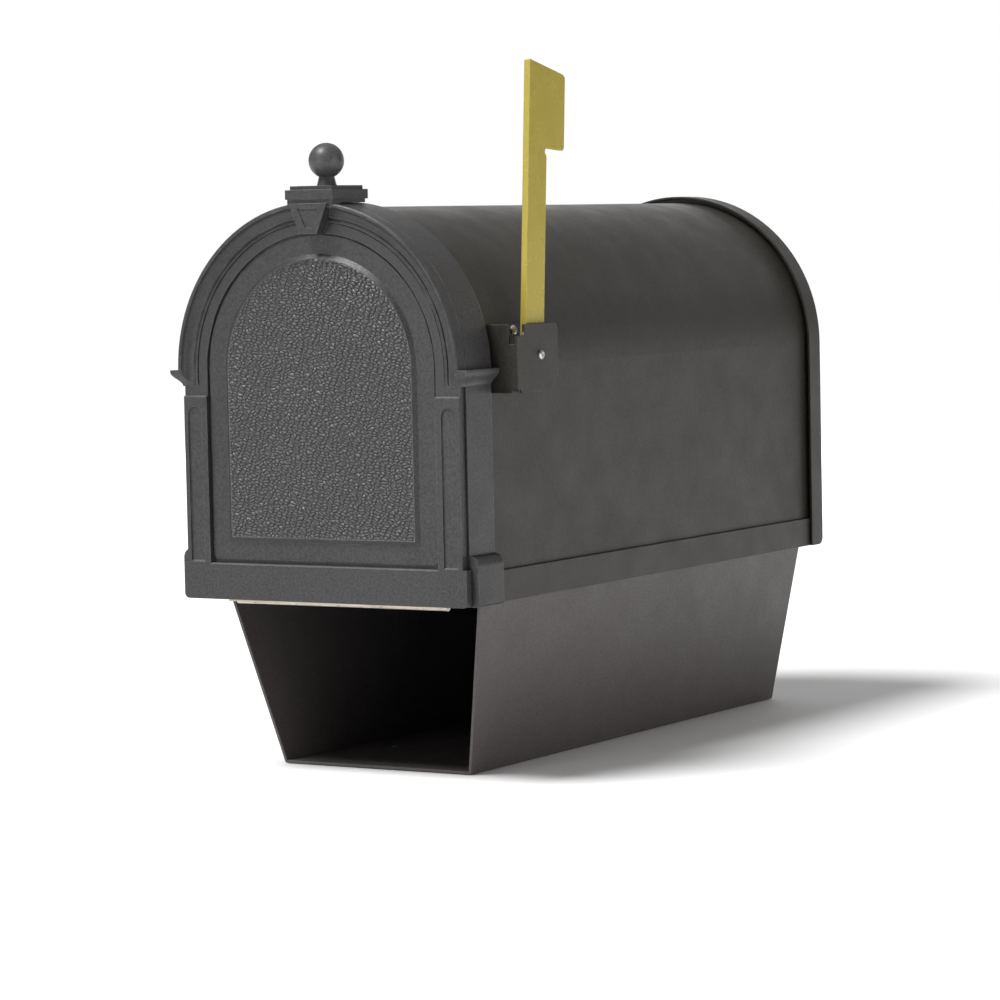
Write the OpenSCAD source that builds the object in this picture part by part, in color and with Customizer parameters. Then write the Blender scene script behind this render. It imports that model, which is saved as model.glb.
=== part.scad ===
// Curbside mailbox with an arched door, a turning flag and a newspaper tube underneath.
// All sizes are in millimetres.
//
// Frame of the part: +Z up, the door faces -Y, x = 0 on the plane of symmetry. The origin is the centre
// of the four mounting holes, on the underside of the newspaper tube's floor.
//
// Every sub-part is drawn in one local frame, which place() carries to the frame of the part:
// x = 0 on the plane of symmetry, y = 0 on the door's face plane with +y towards the rear,
// z = 0 on the spring line of the arch.

/* [Overall] */
// Width of the door and of the front collar
front_w = 225; // [205:1:260]
// Height of the straight sides, from the door's lower edge to the spring line
side_h = 157; // [145:1:190]
// Depth from the door's face plane to the back of the rear cover
unit_d = 525; // [440:1:640]

/* [Body] */
// Thickness of the body's sheet
shell_t = 1.5; // [1:0.1:2]
// How far the body lies inside the collar's outer face
shell_inset = 3.5; // [3:0.1:4]
// Thickness of the floor pan
pan_t = 2.5; // [2:0.1:3]
// Height of the floor pan's side flanges
band_h = 21; // [16:1:28]
// Depth of the front collar
collar_d = 32; // [26:1:40]
// Width of the lip inside the collar, which the door closes on
lip_w = 9; // [7:0.5:11]
// Thickness of that lip
lip_t = 3; // [2:0.1:4]
// How far the capitals and the plinth blocks stand out at the sides
flare_out = 6.8; // [4:0.1:8]
// Height of the capitals
capital_h = 11; // [8:0.5:14]
// Height of the plinth blocks
plinth_h = 34; // [26:1:40]
// Radius of the rear cover's outer face, beyond the body's
cover_out = 5; // [4.4:0.1:6]
// Depth of the rear cover's rim
cover_d = 17.5; // [14:0.5:22]
// Wall of the rear cover's rim
cover_rim_t = 1.6; // [1.4:0.1:1.8]
// Thickness of the rear cover's plate
cover_t = 2.5; // [2:0.1:3]

/* [Door] */
// Thickness of the door behind its face plane
door_t = 4.5; // [4:0.1:5.5]
// Gap between the closed door and the collar
door_gap = 0.5; // [0.3:0.1:0.8]
// Width of the moulded band round the door's recess
band_w = 20.5; // [19:0.5:24]
// How far the arch's rim stands forward
rim_fwd = 6.4; // [5.5:0.1:7]
// How far the pilasters and the bottom rail stand forward
pilaster_fwd = 1.8; // [1:0.1:2.5]
// How far the capitals stand forward
capital_fwd = 5.4; // [4:0.1:5.4]
// How far the pilasters end inside the door's edge
pilaster_inset = 1.6; // [0:0.1:3]
// How far the bottom rail stands out past the door's edge
rail_out = 1.4; // [0:0.1:3]
// Radius of the bottom rail's lower corners
rail_corner_r = 3; // [1:0.5:5]
// Height of the plain neck between a capital and its pilaster
neck_h = 6.5; // [4:0.5:9]
// Height of the bottom rail
rail_h = 25; // [20:1:32]
// Depth of the recess round the panel
recess_d = 2.6; // [1.5:0.1:2.8]
// How far the panel's margin lies behind the face plane
margin_back = 1.2; // [0.8:0.1:1.4]
// Width of the recess at the sides of the panel
recess_w = 1.4; // [1:0.1:4]
// Height of the recess under the panel
recess_foot = 2.5; // [1.5:0.5:6]
// How far the textured field stands forward of the face plane
field_fwd = 1.2; // [0.6:0.1:1.6]
// Width of the field's bevels
bevel_w = 3; // [2:0.5:4]
// Width of the panel's margin beside the field
field_side = 13.5; // [10:0.5:20]
// Width of the panel's margin above the field
field_top = 12.7; // [9:0.1:15]
// Height of the panel's margin below the field
field_foot = 12.5; // [8:0.5:16]
// Thickness of the door's skin behind the field
skin_t = 3.2; // [2.5:0.1:3.5]

/* [Keystone and finial] */
// Width of the keystone at its top
key_top_w = 30.4; // [22:0.2:34]
// Width of the keystone at its foot
key_foot_w = 13.4; // [8:0.2:16]
// How far the keystone stands forward
key_fwd = 9.2; // [8:0.1:11]
// Width of the cap block
cap_w = 38; // [34:1:44]
// Height of the cap block
cap_h = 9; // [7:0.5:11]
// Depth of the cap block behind the face plane
cap_back = 36; // [30:1:42]
// Gap between the cap block and the collar's arch
cap_gap = 0.8; // [0.6:0.1:1.5]
// Diameter of the finial's ball
ball_d = 24; // [20:0.5:30]
// Height of the ball's centre above the cap block
ball_rise = 16.8; // [14:0.2:22]

/* [Newspaper tube] */
// Height of the tube
tube_h = 120.5; // [95:0.5:150]
// Width of the tube at its top
tube_top_w = 204; // [175:1:208]
// Width of the tube's floor
tube_floor_w = 152.4; // [130:0.1:170]
// Thickness of the tube's sheet
tube_t = 2; // [1.5:0.1:2.5]
// Distance from the door's face plane to the tube's front edge at the top
tube_front_top = 34.5; // [30:0.5:45]
// Distance from the door's face plane to the tube's front edge at the floor
tube_front_floor = 59.5; // [35:0.5:80]
// How far the tube ends ahead of the rear cover's back
tube_rear_gap = 17; // [8:1:40]
// Width of the tube's top flanges
tube_flange_w = 18; // [14:1:22]

/* [Mounting holes] */
// Distance from the door's face plane to the centre of the holes
mount_y = 271; // [230:1:300]
// Spacing of the holes across the unit
mount_x_pitch = 86; // [60:1:110]
// Spacing of the holes along the unit
mount_y_pitch = 250; // [150:1:320]
// Radius of the holes
mount_hole_r = 3.5; // [2.5:0.1:4.5]

/* [Hinge] */
// Length of the hinge
hinge_l = 170; // [140:1:180]
// How far the middle of the hinge lies off the plane of symmetry
hinge_shift = 6.5; // [0:0.5:7]
// Number of knuckles
knuckles = 5; // [3:2:17]
// Radius of the knuckles
knuckle_r = 2.75; // [2.4:0.05:3.2]
// Radius of the hinge pin
hinge_pin_r = 1.25; // [1:0.05:1.5]
// Thickness of the leaves
leaf_t = 1.2; // [0.9:0.1:1.4]
// Distance from the door's face plane to the pin
hinge_y = 11; // [10:0.5:13]
// How far the pin lies below the door's lower edge
hinge_drop = 1; // [0.8:0.1:1.4]
// Width of the frame leaf behind the pin
frame_leaf_w = 17; // [14:1:19]
// Gap between neighbouring knuckles
knuckle_gap = 0.4; // [0.3:0.1:0.6]
// Running clearance of pins and pivots, in radius
run_clear = 0.05; // [0.03:0.01:0.08]

/* [Flag] */
// How far the outer face of the flag bracket stands out from the body
bracket_out = 21; // [19:0.5:31]
// Thickness of the bracket's sheet
bracket_t = 2; // [1.5:0.1:2.5]
// Distance from the door's face plane to the bracket's front web
bracket_front = 42.5; // [40:0.5:50]
// Length of the bracket's outer plate
bracket_l = 53; // [48:1:60]
// Height of the bracket's top above the spring line
bracket_top = 28.5; // [26:0.5:34]
// Height of the bracket
bracket_h = 45.5; // [42:0.5:52]
// Size of the notch in the bracket's upper front corner
bracket_notch = 10; // [6:0.5:12]
// Radius of the bracket's corners
bracket_corner_r = 4; // [2:0.5:5]
// Distance from the bracket's front to its mounting screws
bracket_screw_back = 31; // [24:1:36]
// Distance from the door's face plane to the flag's pivot
pivot_y = 72.5; // [70:0.5:76]
// Height of the pivot above the spring line
pivot_z = 7.4; // [5:0.1:9]
// Radius of the pivot screw
pivot_r = 2; // [1.8:0.1:2.3]
// Width of the flag's arm
arm_w = 23.4; // [20:0.2:25]
// Length of the flag from the pivot to its top
flag_l = 197; // [150:1:230]
// Length of the arm below the pivot
arm_tail = 22; // [16:1:23]
// Width of the blade
blade_w = 46.5; // [38:0.5:60]
// Height of the blade along its front edge
blade_h = 58; // [40:1:80]
// How much lower the blade's rear top corner lies
blade_slope = 7; // [0:0.5:12]
// Thickness of the flag's sheet
flag_t = 1.5; // [1.2:0.1:2]
// Radius of the blade's corners
blade_corner_r = 3; // [1:0.5:6]
// Depth of the relief cut under the blade
relief_w = 2.1; // [1:0.1:3]
// Height of the relief cut under the blade
relief_h = 5.4; // [3:0.1:8]
// Depth of the flag's front flange
flag_lip = 4.6; // [3.5:0.1:6]
// Backward lean of the raised flag, in degrees
flag_lean = 4; // [0:0.5:8]

/* [Hidden] */

$fn = 96;
eps = 0.02;            // overlap of cutting shapes past the face that they cut
hole_clear = 0.15;     // radial clearance of the screws in their holes
arch_seat = 0.06;      // how far a flat head stands off the curved inner wall, so that its rim just clears it

// Levels and radii in the local frame
front_r = front_w / 2;
body_r = front_r - shell_inset;
shell_r = body_r - shell_t;
mouth_r = body_r - lip_w;
base_z = -side_h;
floor_z = base_z + pan_t;
collar_y = door_t + door_gap;
collar_end = collar_y + collar_d;
shell_front = collar_y + lip_t;
cover_front = unit_d - cover_d;
plate_y = unit_d - cover_t;
cover_r = body_r + cover_out;
tube_end = unit_d - tube_rear_gap;
tube_floor_z = base_z - tube_h;
spring_z = -tube_floor_z;

// Colours
powder_coat = [0.20, 0.19, 0.18];
cast_coat = [0.22, 0.22, 0.22];
zinc = [0.72, 0.72, 0.70];
gold = [0.75, 0.66, 0.30];
ferrite = [0.25, 0.25, 0.27];

module place() translate([0, -mount_y, spring_z]) children();

// Extrudes an outline drawn in x and z from y0 to y1
module along_y(y0, y1) translate([0, y1, 0]) rotate([90, 0, 0]) linear_extrude(y1 - y0) children();

// Extrudes an outline drawn in y and z from x0 to x1
module along_x(x0, x1) translate([x0, 0, 0]) rotate([90, 0, 90]) linear_extrude(x1 - x0) children();

// Repeats a shape on both sides of the plane of symmetry
module both_sides() {
    children();
    mirror([1, 0, 0]) children();
}

// Outline of an arch: a half circle of radius r on straight sides that reach down to z
module arch(r, z) {
    circle(r, $fn = 180);
    translate([-r, z]) square([2 * r, -z]);
}

// The same arch as an open band of thickness t
module arch_band(r, t, z) {
    difference() {
        arch(r, z);
        arch(r - t, z - 1);
    }
}

// ---------- Fasteners ----------
screw_r = 1.7;
screw_head_r = 3.2;
screw_head_h = 2;
rivet_r = 1.6;
rivet_head_r = 3.2;
rivet_head_h = 1.1;
slot_w = 0.8;

// Pan-head screw along +z: its head lies below z = 0 and its shank reaches up to z = len
module pan_screw(len, r = screw_r, head_r = screw_head_r, head_h = screw_head_h) {
    edge = head_h * 0.45;
    difference() {
        rotate_extrude()
            polygon([[0, -head_h], [head_r - edge, -head_h], [head_r, -head_h + edge],
                     [head_r, 0], [r, 0], [r, len], [0, len]]);
        for (a = [0, 90])
            rotate([0, 0, a])
                translate([-head_r * 0.62, -slot_w / 2, -head_h - 1])
                    cube([head_r * 1.24, slot_w, 1 + head_h * 0.5]);
    }
}

// Hexagonal nut along +z, standing on z = 0
module hex_nut(bore_r, flats, h) {
    difference() {
        cylinder(r = flats / sqrt(3), h = h, $fn = 6);
        translate([0, 0, -1]) cylinder(r = bore_r, h = h + 2);
    }
}

// Rivet along +z: lower head below z = 0, a grip of the given length, and an upper head
module rivet(grip) {
    translate([0, 0, -rivet_head_h]) cylinder(r1 = rivet_head_r * 0.7, r2 = rivet_head_r, h = rivet_head_h);
    cylinder(r = rivet_r, h = grip);
    translate([0, 0, grip]) cylinder(r1 = rivet_head_r, r2 = rivet_head_r * 0.75, h = rivet_head_h);
}

// ---------- Where the walls are fastened ----------
wall_screw_z = [-30, base_z * 0.62];   // heights on the straight sides
wall_screw_a = [40];                   // angles on the arch
pan_screw_z = floor_z + band_h * 0.45;
pan_screw_n = 4;
pan_screw_lead = 40;                   // from the collar and from the rear cover to the nearest pan screw
function pan_screw_y(i) =
    collar_end + pan_screw_lead + i * (cover_front - collar_end - 2 * pan_screw_lead) / (pan_screw_n - 1);
grip_depth = 2.2;                      // how far a wall screw enters what it holds
blind = 0.4;                           // how much deeper than its screw a blind hole is

// Station on the arch at angle a above the spring line
module arch_station(a, y)
    rotate([0, -a, 0]) translate([shell_r - arch_seat, y, 0]) rotate([0, 90, 0]) children();

// Stations on the wall of the body, each with +z pointing outwards through the wall from its inner face
module wall_stations(y) {
    both_sides() {
        for (z = wall_screw_z) translate([shell_r, y, z]) rotate([0, 90, 0]) children();
        for (a = wall_screw_a) arch_station(a, y) children();
    }
}

module pan_stations() {
    both_sides()
        for (i = [0:pan_screw_n - 1])
            translate([shell_r, pan_screw_y(i), pan_screw_z]) rotate([0, 90, 0]) children();
}

module drill(depth, r = screw_r + hole_clear) translate([0, 0, -1]) cylinder(r = r, h = depth + 1, $fn = 32);

collar_screw_y = collar_y + collar_d * 0.6;
cover_ledge_d = 9;
cover_ledge_gap = 0.3;                 // between the ledge and the floor pan's flanges
cover_screw_y = plate_y - cover_ledge_d / 2;
wall_grip = shell_t + grip_depth;

// ---------- Body ----------
module body_shell() color(powder_coat) place() {
    difference() {
        along_y(shell_front, plate_y) arch_band(body_r, shell_t, floor_z);
        wall_stations(collar_screw_y) drill(shell_t + 1);
        wall_stations(cover_screw_y) drill(shell_t + 1);
        pan_stations() drill(shell_t + 1);
        bracket_stations() drill(shell_t + 1);
    }
}

pan_x = body_r + pan_t;
sill_screw_x = [-70, 0, 70];
sill_lap = 10;
sill_screw_y = collar_end + sill_lap / 2;
tube_rivet_n = 4;
tube_rivet_lead = 25;                  // from the tube's front edge to the first rivet
tube_rivet_tail = 35;                  // from the last rivet to the tube's rear end
tube_rivet_x = tube_top_w / 2 - tube_flange_w * 0.6;
tube_rivet_span = tube_end - tube_front_top - tube_rivet_lead - tube_rivet_tail;
function tube_rivet_y(i) = tube_front_top + tube_rivet_lead + i * tube_rivet_span / (tube_rivet_n - 1);

module tube_rivet_stations() {
    both_sides()
        for (i = [0:tube_rivet_n - 1])
            translate([tube_rivet_x, tube_rivet_y(i), base_z - tube_t]) children();
}

module sill_stations() {
    for (x = sill_screw_x) translate([x, sill_screw_y, base_z]) children();
}

// Tray under the body, with a flange up each side
module floor_pan() color(powder_coat) place() {
    difference() {
        along_y(collar_end, plate_y)
            polygon([[-pan_x, base_z], [pan_x, base_z], [pan_x, base_z + band_h], [body_r, base_z + band_h],
                     [body_r, floor_z], [-body_r, floor_z], [-body_r, base_z + band_h],
                     [-pan_x, base_z + band_h]]);
        pan_stations() drill(wall_grip);
        sill_stations() drill(pan_t + 1);
        tube_rivet_stations() drill(tube_t + pan_t + 1, rivet_r + hole_clear);
    }
}

// ---------- Front collar ----------
capital_lip = 1.5;

// Profile of the capitals, as an outline: wall at 0, standing out at the top by out, down to -capital_h
function cyma(out, n = 10) = [for (i = [0:n])
    let (s = i / n) [out * (0.5 + 0.5 * cos(180 * s)), -capital_lip - (capital_h - capital_lip) * s]];

module capital_profile(out, back) {
    polygon(concat([[-back, 0], [out, 0]], cyma(out), [[-back, -capital_h]]));
}

plinth_round = 6.8;

// Profile of a plinth block: quarter-round top, rounded lower corner
module plinth_profile(back) {
    r = min(plinth_round, flare_out);
    foot_r = 2.5;
    difference() {
        translate([-back, base_z]) square([back + flare_out, plinth_h]);
        difference() {
            translate([flare_out - r, base_z + plinth_h - r]) square([r + 1, r + 1]);
            translate([flare_out - r, base_z + plinth_h - r]) circle(r, $fn = 64);
        }
        difference() {
            translate([flare_out - foot_r, base_z - 1]) square([foot_r + 1, foot_r + 1]);
            translate([flare_out - foot_r, base_z + foot_r]) circle(foot_r, $fn = 48);
        }
    }
}

sill_y = hinge_y + knuckle_r + 0.4;
hinge_z = base_z - hinge_drop;
leaf_top = base_z;
frame_screw_n = 5;
frame_screw_y = hinge_y + knuckle_r + 0.5 * (frame_leaf_w - knuckle_r);
hinge_x0 = hinge_shift - hinge_l / 2;
function hinge_screw_x(i) = hinge_x0 + hinge_l * (i + 0.5) / frame_screw_n;
hinge_screw_r = 1.25;
hinge_head_r = 2.4;
hinge_head_h = 1;
sill_pad_t = 2.5;
sill_grip = pan_t + sill_pad_t - 0.8;
frame_grip = leaf_t + pan_t + 0.8;

module frame_screw_stations() {
    for (i = [0:frame_screw_n - 1])
        translate([hinge_screw_x(i), frame_screw_y, leaf_top - leaf_t]) children();
}

module front_collar() color(cast_coat) place() {
    difference() {
        union() {
            along_y(collar_y, collar_end) arch_band(front_r, shell_inset, base_z);
            along_y(collar_y, shell_front) arch_band(body_r + eps, lip_w + eps, base_z + rail_h * 0.2);
            both_sides() translate([front_r, 0, 0]) {
                along_y(collar_y, collar_end) capital_profile(flare_out, eps);
                along_y(collar_y, collar_end) plinth_profile(eps);
            }
            // sill between the side walls, with a pad that laps over the floor pan
            along_y(sill_y, collar_end)
                translate([-body_r - eps, base_z]) square([2 * (body_r + eps), pan_t]);
            along_y(sill_y, collar_end + sill_lap)
                translate([-mouth_r - 2, floor_z]) square([2 * (mouth_r + 2), sill_pad_t]);
            both_sides() along_y(sill_y, shell_front + 20)
                translate([mouth_r, base_z]) square([body_r - mouth_r + eps, pan_t]);
        }
        wall_stations(collar_screw_y) drill(wall_grip + blind);
        sill_stations() drill(sill_grip + blind);
        frame_screw_stations() drill(frame_grip + blind, hinge_screw_r + hole_clear);
    }
}

// ---------- Rear cover ----------
cover_corner_r = 6;

module rear_cover() color(powder_coat) place() {
    rim_inner = cover_r - cover_rim_t;
    difference() {
        union() {
            along_y(plate_y, unit_d) arch(cover_r, base_z);
            along_y(cover_front, plate_y + eps) arch_band(cover_r, cover_rim_t, base_z);
            // ledge that the end of the body sits in, above the floor pan's flanges
            along_y(plate_y - cover_ledge_d, plate_y + eps)
                arch_band(rim_inner + eps, rim_inner + eps - body_r, base_z + band_h + cover_ledge_gap);
        }
        wall_stations(cover_screw_y) drill(wall_grip + blind);
        // rounded lower rear corners, seen from the side
        along_x(-cover_r - 1, cover_r + 1) difference() {
            translate([unit_d - cover_corner_r, base_z - 1]) square([cover_corner_r + 1, cover_corner_r + 1]);
            translate([unit_d - cover_corner_r, base_z + cover_corner_r]) circle(cover_corner_r, $fn = 64);
        }
    }
}

// ---------- Newspaper tube ----------
tube_slope = (tube_top_w - tube_floor_w) / 2 / tube_h;
tube_wall_x = tube_t * sqrt(1 + tube_slope * tube_slope);
function tube_half_w(z) = tube_floor_w / 2 + (z - tube_floor_z) * tube_slope;

// Inside outline of the tube between two levels
module tube_inside(z0, z1, inset = 0) {
    w0 = tube_half_w(z0) - tube_wall_x - inset;
    w1 = tube_half_w(z1) - tube_wall_x - inset;
    polygon([[-w0, z0], [w0, z0], [w1, z1], [-w1, z1]]);
}

module mount_holes() {
    for (x = [-1, 1], y = [-1, 1])
        translate([x * mount_x_pitch / 2, mount_y + y * mount_y_pitch / 2, tube_floor_z - 1])
            cylinder(r = mount_hole_r, h = tube_t + 2, $fn = 48);
}

module paper_tube() color(powder_coat) place() {
    top = base_z;
    throat = tube_half_w(top) - tube_flange_w;
    difference() {
        along_y(tube_front_top, tube_end) difference() {
            polygon([[-tube_half_w(tube_floor_z), tube_floor_z], [tube_half_w(tube_floor_z), tube_floor_z],
                     [tube_half_w(top), top], [-tube_half_w(top), top]]);
            tube_inside(tube_floor_z + tube_t, top - tube_t);
            translate([-throat, top - tube_t - 1]) square([2 * throat, tube_t + 2]);
        }
        // slanted front edge
        along_x(-tube_top_w, tube_top_w)
            polygon([[tube_front_top - 1, top + 1], [tube_front_top, top], [tube_front_floor, tube_floor_z],
                     [tube_front_floor, tube_floor_z - 1], [tube_front_top - 1, tube_floor_z - 1]]);
        mount_holes();
        tube_rivet_stations() drill(tube_t + 1, rivet_r + hole_clear);
    }
}

rear_panel_t = 1.5;
rear_panel_flange = 12;

// Pan-shaped panel that closes the rear end of the tube
module tube_rear_panel() color(powder_coat) place() {
    z0 = tube_floor_z + tube_t;
    z1 = base_z - tube_t;
    end = tube_end - 1;
    difference() {
        along_y(end - rear_panel_flange, end) tube_inside(z0, z1);
        along_y(end - rear_panel_flange - 1, end - rear_panel_t)
            tube_inside(z0 + rear_panel_t, z1 + 1, rear_panel_t);
    }
}

// ---------- Screws and rivets of the body ----------
module collar_screws() color(zinc) place() wall_stations(collar_screw_y) pan_screw(wall_grip);
module rear_cover_screws() color(zinc) place() wall_stations(cover_screw_y) pan_screw(wall_grip);
module pan_screws() color(zinc) place() pan_stations() pan_screw(wall_grip);
module sill_screws() color(zinc) place() sill_stations() pan_screw(sill_grip);
module tube_rivets() color(zinc) place() tube_rivet_stations() rivet(tube_t + pan_t);

// ---------- Hinge ----------
knuckle_pitch = hinge_l / knuckles;

// Barrel sections of one leaf: every second knuckle, starting from the given one
module knuckle_set(first) {
    for (i = [first:2:knuckles - 1])
        translate([hinge_x0 + i * knuckle_pitch + knuckle_gap / 2, hinge_y, hinge_z])
            rotate([0, 90, 0]) cylinder(r = knuckle_r, h = knuckle_pitch - knuckle_gap, $fn = 48);
}

// Straps that tie those knuckles to a leaf lying between y0 and y1
module strap_set(first, y0, y1) {
    for (i = [first:2:knuckles - 1])
        translate([hinge_x0 + i * knuckle_pitch + knuckle_gap / 2, y0, leaf_top - leaf_t])
            cube([knuckle_pitch - knuckle_gap, y1 - y0, leaf_t]);
}

// Cylinder of radius r on the hinge's axis, reaching x to each side of the hinge's middle
module on_hinge_axis(r, x)
    translate([hinge_shift - x, hinge_y, hinge_z]) rotate([0, 90, 0]) cylinder(r = r, h = 2 * x, $fn = 48);

leaf_edge = knuckle_r + 0.4;
pin_fit = 0.015;       // radial clearance of the pin in the leaf that holds it

module hinge_frame_leaf() color(zinc) place() {
    y0 = hinge_y + leaf_edge;
    y1 = hinge_y + frame_leaf_w;
    difference() {
        union() {
            translate([hinge_x0, y0, leaf_top - leaf_t]) cube([hinge_l, y1 - y0, leaf_t]);
            strap_set(1, hinge_y, y0 + eps);
            knuckle_set(1);
        }
        on_hinge_axis(hinge_pin_r + pin_fit, hinge_l);
        frame_screw_stations() drill(leaf_t + 1, hinge_screw_r + hole_clear);
    }
}

door_leaf_w = 11.6;
door_screw_y = hinge_y - 0.62 * door_leaf_w;
door_grip = 3.2;

module door_screw_stations() {
    for (i = [0:frame_screw_n - 1]) translate([hinge_screw_x(i), door_screw_y, leaf_top - leaf_t]) children();
}

module hinge_door_leaf() color(zinc) place() {
    y0 = hinge_y - door_leaf_w;
    y1 = hinge_y - leaf_edge;
    difference() {
        union() {
            translate([hinge_x0, y0, leaf_top - leaf_t]) cube([hinge_l, y1 - y0, leaf_t]);
            strap_set(0, y1 - eps, hinge_y);
            knuckle_set(0);
        }
        on_hinge_axis(hinge_pin_r + run_clear, hinge_l);
        door_screw_stations() drill(leaf_t + 1, hinge_screw_r + hole_clear);
    }
}

module hinge_pin() color(zinc) place() on_hinge_axis(hinge_pin_r, hinge_l / 2);

module hinge_screw(len) pan_screw(len, hinge_screw_r, hinge_head_r, hinge_head_h);
module hinge_frame_screws() color(zinc) place() frame_screw_stations() hinge_screw(frame_grip);
module hinge_door_screws() color(zinc) place() door_screw_stations() hinge_screw(leaf_t + door_grip);

// ---------- Door ----------
recess_r = front_r - band_w;
panel_r = recess_r - recess_w;
rail_top = base_z + rail_h;
panel_foot = rail_top + recess_foot;
field_half_w = panel_r - field_side;
field_rise = panel_r - field_top - field_half_w;
field_foot_z = panel_foot + field_foot;
back_y = door_t;

cove_r = 7;
cove_x = front_r - 9.5;       // radius at the bottom of the cove
cove_depth = 0.4;             // how far the bottom of the cove stands forward of the face plane
bead_r = 1.2;
bead_x = cove_x - 2.4;        // radius of the bead's centre
groove_w = 0.6;
groove_d = 0.6;
rim_groove_r = 0.5;           // fine groove where the cove meets the rim
rim_ease = 1.2;               // side of the square that eases the rim's outer corner

// Section of the arch's moulded band: radius across, forward distance up
module band_section(outer) {
    difference() {
        union() {
            translate([recess_r, -back_y]) square([cove_x - recess_r + eps, back_y]);
            translate([cove_x, -back_y]) square([outer - cove_x, back_y + rim_fwd]);
            translate([bead_x, 0]) circle(bead_r, $fn = 32);
        }
        translate([cove_x, cove_r + cove_depth]) circle(cove_r, $fn = 96);
        translate([bead_x - bead_r - groove_w, -groove_d]) square([groove_w, 2]);
        translate([bead_x + bead_r, -groove_d]) square([groove_w, 2]);
        translate([cove_x + cove_r, rim_fwd]) circle(rim_groove_r, $fn = 24);
        // eased outer corner of the rim
        translate([outer, rim_fwd]) rotate([0, 0, 45]) square(rim_ease, center = true);
    }
}

// Moulded band round the arch
module arch_moulding() rotate([90, 0, 0]) rotate_extrude(angle = 180, $fn = 180) band_section(front_r);

// The moulding runs on below the spring line and dies into the capital
module capital() {
    intersection() {
        translate([0, 0, -capital_h]) linear_extrude(capital_h)
            mirror([0, 1, 0]) band_section(front_r + flare_out);
        along_y(-capital_fwd - 1, back_y + 1)
            translate([front_r, 0, 0]) capital_profile(flare_out, band_w + 1);
        // front profile
        along_x(0, front_r + flare_out + 1)
            mirror([1, 0, 0]) capital_profile(capital_fwd, back_y + 1);
    }
}

pilaster_w = band_w - pilaster_inset;
slot_half_w = 5.6;
slot_d = 1.2;
slot_top_gap = 7.5;
slot_foot_gap = 1.4;
ledge_ease = 0.9;             // chamfer of the edges of the ledges that face upwards

// Cutter that chamfers an upward ledge's front edge from x0 to x1, at height z on the pilasters' face
module ease_ledge(x0, x1, z)
    along_x(x0, x1) translate([-pilaster_fwd, z]) rotate([0, 0, 45])
        square(ledge_ease * sqrt(2), center = true);

// Pilaster with its neck, from under the capital to the bottom rail
module pilaster() {
    top = -capital_h - neck_h;
    along_y(0, back_y) translate([recess_r, top - eps]) square([pilaster_w, neck_h + 2 * eps]);
    mid = recess_r + band_w / 2;
    difference() {
        along_y(-pilaster_fwd, back_y)
            translate([recess_r, rail_top - eps]) square([pilaster_w, top - rail_top + eps]);
        along_y(-pilaster_fwd - 1, -pilaster_fwd + slot_d) {
            translate([mid, top - slot_top_gap - slot_half_w]) circle(slot_half_w, $fn = 64);
            translate([mid - slot_half_w, rail_top + slot_foot_gap])
                square([2 * slot_half_w, top - slot_top_gap - slot_half_w - rail_top - slot_foot_gap]);
        }
        ease_ledge(recess_r - 1, recess_r + pilaster_w + 1, top);
        ease_ledge(mid - slot_half_w, mid + slot_half_w, rail_top + slot_foot_gap);
    }
}

// Outline of the bottom rail, with rounded lower corners
module rail_outline() {
    w = front_r + rail_out;
    translate([-w, base_z + rail_corner_r]) square([2 * w, rail_h - rail_corner_r]);
    translate([-w + rail_corner_r, base_z]) square([2 * (w - rail_corner_r), rail_h]);
    for (s = [-1, 1])
        translate([s * (w - rail_corner_r), base_z + rail_corner_r]) circle(rail_corner_r, $fn = 48);
}

// Outline of the panel: an arch with rounded lower corners
module panel_outline(inset) {
    r = 4;
    w = panel_r - inset;
    foot = panel_foot + inset;
    circle(w, $fn = 180);
    translate([-w, foot + r]) square([2 * w, -foot - r]);
    translate([-w + r, foot]) square([2 * (w - r), r + eps]);
    for (s = [-1, 1]) translate([s * (w - r), foot + r]) circle(r, $fn = 32);
}

// Outline of the textured field, shrunk by inset
module field_outline(inset) {
    w = field_half_w - inset;
    foot = field_foot_z + inset;
    translate([0, field_rise]) circle(w, $fn = 180);
    translate([-w, foot]) square([2 * w, field_rise - foot]);
}

// Field with bevelled edges: a cone frustum over a bevelled block, both rooted a little inside the panel
module field() {
    root = 0.2;
    rise = margin_back + field_fwd;
    flare = bevel_w * root / rise;
    foot_w = field_half_w + flare;
    top_w = field_half_w - bevel_w;
    back = margin_back + root;
    foot = field_foot_z - flare;
    translate([0, back, field_rise]) rotate([90, 0, 0])
        cylinder(r1 = foot_w, r2 = top_w, h = rise + root, $fn = 180);
    intersection() {
        translate([0, 0, foot]) linear_extrude(field_rise - foot)
            polygon([[-foot_w, back], [foot_w, back], [top_w, -field_fwd], [-top_w, -field_fwd]]);
        along_x(-foot_w, foot_w)
            polygon([[back, foot], [back, field_rise], [-field_fwd, field_rise],
                     [-field_fwd, field_foot_z + bevel_w]]);
    }
}

key_head_z = front_r - 0.9;
key_foot_z = recess_r - 0.8;

// Wedge-shaped keystone with a sunk, tapered face
module keystone() {
    inset_d = 0.9;
    margin = 5.3;
    difference() {
        along_y(-key_fwd, recess_d + 1)
            polygon([[-key_foot_w / 2, key_foot_z], [key_foot_w / 2, key_foot_z],
                     [key_top_w / 2, key_head_z], [-key_top_w / 2, key_head_z]]);
        along_y(-key_fwd - 1, -key_fwd + inset_d)
            polygon([[-key_foot_w / 2 + margin * 0.85, key_foot_z + margin * 0.8],
                     [key_foot_w / 2 - margin * 0.85, key_foot_z + margin * 0.8],
                     [key_top_w / 2 - margin * 1.2, key_head_z - margin * 0.6],
                     [-key_top_w / 2 + margin * 1.2, key_head_z - margin * 0.6]]);
    }
}

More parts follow.
